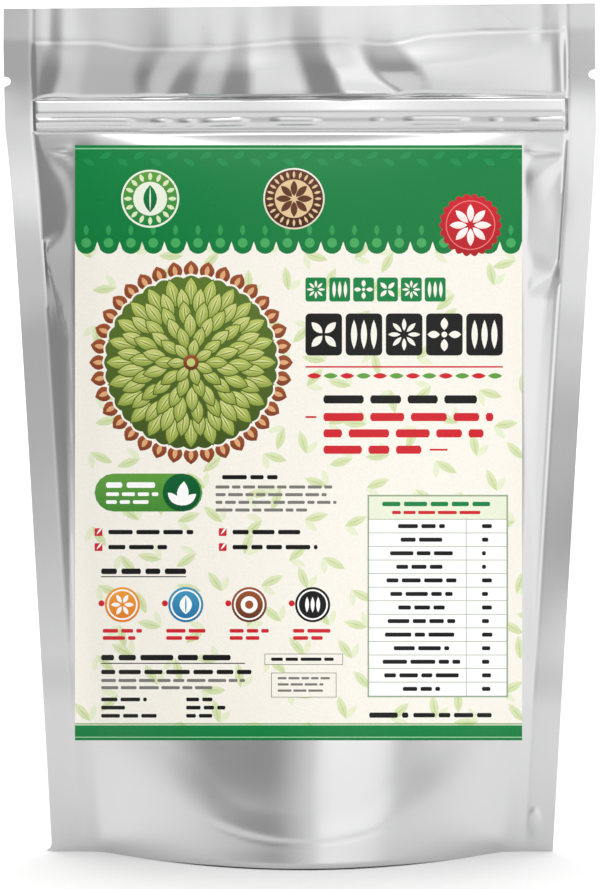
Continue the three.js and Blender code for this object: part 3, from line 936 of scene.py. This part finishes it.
def gusset(material):
    """The bottom film: up the inside of the front film, across, and down the inside of the back one."""
    place = film_places(40, 20, 8)
    up = np.linspace(0, 1, GUSSET_LEG_ROWS, endpoint=False)[:, None]
    q = np.linspace(-1, 1, GUSSET_TOP_ROWS + 1)[:, None]
    hanging = 1 - q ** 2
    t2 = np.clip(np.abs(place) / SEAL_PLACE, 0, 1) ** 2
    sag = GUSSET_SAG * (1 - t2 ** 2) + GUSSET_SIDE_SAG * t2 * (1 - t2)
    sides = []
    for lift in (0, GUSSET_FILM):
        gap = FILM + SEAL_AIR + lift
        rim = bottom_seal(across_at(place, 0), 0) - lift
        leg_z = rim * up
        leg_x = across_at(place, leg_z)
        front, back = (film_point(leg_x, leg_z, face, -gap) for face in ("front", "back"))
        top_x = across_at(place, rim)
        front_y, back_y = (film_point(top_x, rim, face, -gap)[:, 1] for face in ("front", "back"))
        # The flattened centre fold still shows as a low ridge
        uneven = 0.5 * bump(q, 0.05) + 0.35 * waves(top_x, 40 * q, 14, 3) * hanging
        top = np.stack([
            np.broadcast_to(top_x, (len(q), len(place))),
            front_y + (back_y - front_y) * (q + 1) / 2,
            rim - sag * hanging + uneven * (1 - t2),
        ], -1)
        sides.append(np.concatenate([front, top, back[::-1]]))
    outside, underside = sides
    return sheet_object("gusset_film", outside, underside, material)


def cut_shapes(shapes):
    """The shapes cut into triangles: their corners, the triangles, and each one's topmost shape."""
    corners, outlines = [], []
    for points, _, _ in shapes:
        outlines.append(list(range(len(corners), len(corners) + len(points))))
        corners.extend(Vector(point) for point in points)
    # Grid points, a little off the round values that the shapes' own corners have
    for a in np.arange(LABEL_GRID, LABEL_WIDTH - 1, LABEL_GRID):
        for b in np.arange(LABEL_GRID, LABEL_DROP - 1, LABEL_GRID):
            corners.append(Vector((a + 0.013, b + 0.017)))
    cut_points, _, cut_faces, _, _, cut_owners = delaunay_2d_cdt(corners, [], outlines, 1, 1e-5)
    # Triangles outside the label's own rectangle, the first shape, are trimmings
    kept = [(face, max(owners)) for face, owners in zip(cut_faces, cut_owners) if 0 in owners]
    owner = np.array([shape for _, shape in kept])
    used, triangles = np.unique([face for face, _ in kept], return_inverse=True)
    triangles = triangles.reshape(-1, 3)
    flat = np.array([tuple(point) for point in cut_points])[used]
    a, b, c = (flat[triangles[:, k]] for k in range(3))
    turn = (b - a)[:, 0] * (c - a)[:, 1] - (b - a)[:, 1] * (c - a)[:, 0]
    triangles[turn > 0] = triangles[turn > 0][:, ::-1]
    return flat, triangles, owner


def closed_faces(triangles, count):
    """The triangles, the same ones turned over on the far side, and quads around the rim."""
    edges = np.concatenate([triangles[:, pair] for pair in ([0, 1], [1, 2], [2, 0])])
    known = {tuple(edge) for edge in edges.tolist()}
    rim = np.array([edge for edge in known if edge[::-1] not in known])
    rim_quads = np.stack([rim[:, 1], rim[:, 0], rim[:, 0] + count, rim[:, 1] + count], -1)
    return triangles.tolist() + (triangles[:, ::-1] + count).tolist() + rim_quads.tolist()


def ink_value(colour):
    """Linear red, green and blue of a colour given as it looks on screen, 0 to 255."""
    c = np.asarray(colour, float) / 255
    return np.where(c <= 0.04045, c / 12.92, ((c + 0.055) / 1.055) ** 2.4)


def corner_inks(shapes, owner, heights):
    """Each triangle's colour at its corners, fading down the shape that owns it."""
    points, first, second = zip(*shapes)
    top = np.array([shape[:, 1].min() for shape in points])[owner, None]
    drop = np.array([np.ptp(shape[:, 1]) for shape in points])[owner, None]
    share = np.clip((heights - top) / drop, 0, 1)[..., None]
    first, second = ink_value(first)[owner, None], ink_value(second)[owner, None]
    return (first * (1 - share) + second * share).reshape(-1, 3)


def label(material):
    """The artwork's shapes cut into one thin closed sheet that lies on the front film."""
    shapes = label_shapes()
    flat, triangles, owner = cut_shapes(shapes)
    u, v = LABEL_LEFT + flat[:, 0], LABEL_TOP - flat[:, 1]
    near = seen_film_point(u, v, LABEL_AIR + LABEL_FILM)
    far = seen_film_point(u, v, LABEL_AIR)
    faces = closed_faces(triangles, len(flat))
    piece = make_object("printed_label", np.concatenate([near, far]), faces, material)

    # The near side is printed; the far side and the rim are white
    layer = piece.data.color_attributes.new("ink", "BYTE_COLOR", "CORNER")
    inks = np.ones((len(layer.data), 4))
    inks[:, :3] = ink_value(WHITE)
    printed = corner_inks(shapes, owner, flat[triangles][..., 1])
    inks[:len(printed), :3] = printed
    layer.data.foreach_set("color", inks.ravel())
    return piece


# Materials

def set_inputs(node, inputs):
    """Give a node's inputs their values. Another node's output is linked, and anything else is set."""
    for name, value in inputs.items():
        if isinstance(value, bpy.types.NodeSocket):
            node.id_data.links.new(value, node.inputs[name])
        else:
            node.inputs[name].default_value = value


def add_node(tree, kind, inputs, **settings):
    """A shader node with its settings and inputs."""
    node = tree.nodes.new("ShaderNode" + kind)
    for name, value in settings.items():
        setattr(node, name, value)
    set_inputs(node, inputs)
    return node


def add_place(tree):
    """Where the shaded point is on its own piece, in metres."""
    return add_node(tree, "TexCoord", {}).outputs["Object"]


def add_noise(tree, size, detail):
    """Noise whose lumps are about size millimetres across."""
    inputs = {"Vector": add_place(tree), "Scale": 1 / (size * MM), "Detail": detail}
    return add_node(tree, "TexNoise", inputs).outputs["Fac"]


def add_range(tree, value, low, high, start=0.3, end=0.7):
    """low up to start, high from end on, and in between a straight rise."""
    inputs = {"Value": value, "From Min": start, "From Max": end, "To Min": low, "To Max": high}
    return add_node(tree, "MapRange", inputs).outputs["Result"]


def add_math(tree, operation, *values):
    inputs = dict(enumerate(values))
    return add_node(tree, "Math", inputs, operation=operation).outputs["Value"]


def add_vector_math(tree, operation, *values):
    inputs = dict(enumerate(values))
    return add_node(tree, "VectorMath", inputs, operation=operation).outputs


def add_bump(tree, height, depth, strength=1.0):
    """Bump of the given depth in millimetres."""
    inputs = {"Height": height, "Distance": depth * MM, "Strength": strength}
    return add_node(tree, "Bump", inputs).outputs["Normal"]


def add_mix(tree, factor, colour_a, colour_b):
    inputs = {"Factor": factor, "A": (*colour_a, 1), "B": (*colour_b, 1)}
    return add_node(tree, "Mix", inputs, data_type="RGBA").outputs["Result"]


def new_material(name):
    material = bpy.data.materials.new(name)
    material.use_nodes = True
    tree = material.node_tree
    return material, tree, tree.nodes["Principled BSDF"]


def foil(name, light, dark, roughness_low, roughness_high):
    """Metallised film: bright, satin, with faint mottling and a fine grain."""
    material, tree, shader = new_material(name)
    cloud = add_range(tree, add_noise(tree, 40, 1), 0, 1, 0.2, 0.8)
    smear = add_range(tree, add_noise(tree, 30, 1), roughness_low, roughness_high, 0.2, 0.8)
    set_inputs(shader, {
        "Metallic": 1.0,
        "Base Color": add_mix(tree, cloud, light, dark),
        "Roughness": smear,
        "Normal": add_bump(tree, add_noise(tree, 0.5, 1), 0.002),
    })
    return material


def printed_label():
    """Print under a clear gloss film. The inks are in the mesh's colour attribute."""
    material, tree, shader = new_material("printed_label")
    ink = add_node(tree, "VertexColor", {}, layer_name="ink").outputs["Color"]
    grain = add_range(tree, add_noise(tree, 0.5, 2), 0, 1)
    grain = add_mix(tree, grain, (1, 1, 1), (0.94, 0.94, 0.94))
    inputs = {"Factor": 1.0, "A": ink, "B": grain}
    faded = add_node(tree, "Mix", inputs, data_type="RGBA", blend_type="MULTIPLY")
    set_inputs(shader, {
        "Base Color": faded.outputs["Result"],
        "Roughness": add_range(tree, add_noise(tree, 12, 3), 0.27, 0.36),
        "Specular IOR Level": 0.15,
        "Coat Weight": 0.08,
        "Coat Roughness": 0.2,
        "Normal": add_bump(tree, add_noise(tree, 3, 2), 0.01),
    })
    return material


def clear_plastic():
    material, tree, shader = new_material("clear_zip_plastic")
    set_inputs(shader, {
        "Base Color": add_mix(tree, add_noise(tree, 4, 2), (0.82, 0.85, 0.85), (0.92, 0.93, 0.93)),
        "Roughness": add_range(tree, add_noise(tree, 2, 2), 0.2, 0.34),
        "Transmission Weight": 0.5,
        "Normal": add_bump(tree, add_noise(tree, 0.6, 2), 0.01),
    })
    return material


def pod_skin():
    """Dry green-straw husk with fine ribs and darker patches."""
    material, tree, shader = new_material("pod_skin")
    patches = add_range(tree, add_noise(tree, 5, 4), 0, 1, 0.35, 0.65)
    wave = {"Vector": add_place(tree), "Scale": 600, "Distortion": 3}
    ribs = add_node(tree, "TexWave", wave).outputs["Fac"]
    set_inputs(shader, {
        "Base Color": add_mix(tree, patches, (0.36, 0.42, 0.12), (0.5, 0.48, 0.2)),
        "Roughness": add_range(tree, add_noise(tree, 3, 3), 0.6, 0.85),
        "Normal": add_bump(tree, ribs, 0.2, 0.6),
    })
    return material


def studio_white_glow():
    """Matt white with a painted glow: its emission rises from just behind the pouch toward its far end,
    strongest along its middle.
    """
    material, tree, shader = new_material("studio_white_glow")
    axes = add_node(tree, "SeparateXYZ", {"Vector": add_place(tree)}).outputs
    # Painted glow: emission that grows with distance behind the pouch and fades toward the floor's
    # sides.
    far = add_range(tree, axes["Y"], 0.0, 0.5, 0.05, 2.0)
    central_glow = add_range(tree, add_math(tree, "ABSOLUTE", axes["X"]), 1.0, 0.0, 0.3, 0.7)
    set_inputs(shader, {
        "Base Color": add_mix(tree, add_noise(tree, 400, 1), (0.82, 0.82, 0.82), (0.84, 0.84, 0.84)),
        "Roughness": 0.9,
        "Specular IOR Level": 0.1,
        "Emission Color": (1, 1, 1, 1),
        "Emission Strength": add_math(tree, "MULTIPLY", far, central_glow),
    })
    return material


# Studio
FLOOR_HALF = 420
FLOOR_NEAR = -700
BEND_START = 2600
BEND_RADIUS = 900
BEND_STEPS = 12
BACKDROP_TOP = 4000
DIM_AZIMUTH = -35  # the dim part of the room, to the left of the front
FLATTENING = 0.35  # how tall that part is: the less, the taller


def stage_floor():
    """A white floor that curves up into a backdrop behind the pouch."""
    profile = [(FLOOR_NEAR, 0), (BEND_START, 0)]
    for turn in np.linspace(0, math.pi / 2, BEND_STEPS + 1)[1:]:
        profile.append((BEND_START + BEND_RADIUS * math.sin(turn), BEND_RADIUS * (1 - math.cos(turn))))
    profile.append((BEND_START + BEND_RADIUS, BACKDROP_TOP))
    points = [(x, y, z) for y, z in profile for x in (-FLOOR_HALF, FLOOR_HALF)]
    faces = [(2 * i, 2 * i + 1, 2 * i + 3, 2 * i + 2) for i in range(len(profile) - 1)]
    mesh = bpy.data.meshes.new("studio_floor")
    mesh.from_pydata((np.array(points) * MM).tolist(), [], faces)
    mesh.shade_smooth()
    mesh.materials.append(studio_white_glow())
    floor = bpy.data.objects.new("studio_floor", mesh)
    bpy.context.collection.objects.link(floor)


def direction(azimuth, elevation):
    """From the pouch outward. Azimuth 0 is in front of it and 90 to its right."""
    a, e = math.radians(azimuth), math.radians(elevation)
    return Vector((math.sin(a) * math.cos(e), -math.cos(a) * math.cos(e), math.sin(e)))


def softbox(name, azimuth, elevation, distance, width, height, power):
    """An area light that faces the pouch."""
    light = bpy.data.lights.new(name, "AREA")
    light.shape = "RECTANGLE"
    light.size, light.size_y = width * MM, height * MM
    light.energy = power
    lamp = bpy.data.objects.new(name, light)
    away = direction(azimuth, elevation)
    lamp.location = Vector((0, 0, HEIGHT / 2 * MM)) + away * distance * MM
    lamp.rotation_euler = (-away).to_track_quat("-Z", "Y").to_euler()
    bpy.context.collection.objects.link(lamp)


def studio_room():
    """Soft grey light from all round, brighter from above and dim from the front left."""
    world = bpy.data.worlds.new("studio_room")
    world.use_nodes = True
    tree = world.node_tree
    outward = add_node(tree, "TexCoord", {}).outputs["Generated"]
    axes = add_node(tree, "SeparateXYZ", {"Vector": outward}).outputs
    rising = add_range(tree, axes["Z"], 0.88, 1.4, 0.12, 0.55)
    sides = add_range(tree, add_math(tree, "ABSOLUTE", axes["X"]), 1.0, 0.72, 0.7, 0.95)
    zenith = add_range(tree, axes["Z"], 1.0, 0.5, 0.8, 0.97)
    flat = add_vector_math(tree, "MULTIPLY", outward, (1, 1, FLATTENING))["Vector"]
    flat = add_vector_math(tree, "NORMALIZE", flat)["Vector"]
    toward = add_vector_math(tree, "DOT_PRODUCT", flat, direction(DIM_AZIMUTH, 0))["Value"]
    dim = add_range(tree, toward, 1.0, 0.4, 0.8, 0.96)
    strength = add_math(tree, "MULTIPLY", rising, sides)
    for share in (zenith, dim):
        strength = add_math(tree, "MULTIPLY", strength, share)
    set_inputs(tree.nodes["Background"], {"Color": (1, 1, 1, 1), "Strength": strength})
    bpy.context.scene.world = world


def add_camera():
    data = bpy.data.cameras.new("camera")
    data.lens = CAMERA_LENS
    data.clip_end = CAMERA_REACH * MM
    camera = bpy.data.objects.new("camera", data)
    camera.location = Vector((CAMERA_AIM_X, -CAMERA_DISTANCE, CAMERA_HEIGHT)) * MM
    camera.rotation_euler = (math.radians(90 - CAMERA_PITCH), 0, 0)
    bpy.context.collection.objects.link(camera)
    bpy.context.scene.camera = camera


# The pouch, piece by piece

silver = foil("silver_foil", (0.6, 0.6, 0.6), (0.58, 0.58, 0.585), 0.18, 0.24)
silver_inside = foil("silver_foil_inside", (0.6, 0.6, 0.61), (0.57, 0.57, 0.58), 0.28, 0.36)

front_film = film("front", silver, 1.0, 42, 16, 15)
back_film = film("back", silver, 1.5, 34, 14, 10)
for piece, node in ((front_film, "front_panel"), (back_film, "back_panel")):
    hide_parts(node)

gusset_film = gusset(silver_inside)
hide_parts("bottom_gusset")

printed = label(printed_label())
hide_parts("front_label")

for node, material in (
    ("zip_rib_strip", clear_plastic()),
    ("zip_groove_strip", clear_plastic()),
    ("pod_filling", pod_skin()),
):
    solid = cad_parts[node]
    solid.data.materials.clear()
    solid.data.materials.append(material)

# The studio around it

stage_floor()
softbox("overhead", 180, 68, 900, 800, 420, 4.2)
softbox("high_front", 0, 52, 1500, 1200, 500, 2.5)
softbox("right_window", 30, 6, 1300, 960, 760, 1.3)
studio_room()
add_camera()
bpy.context.scene.view_settings.view_transform = "Standard"
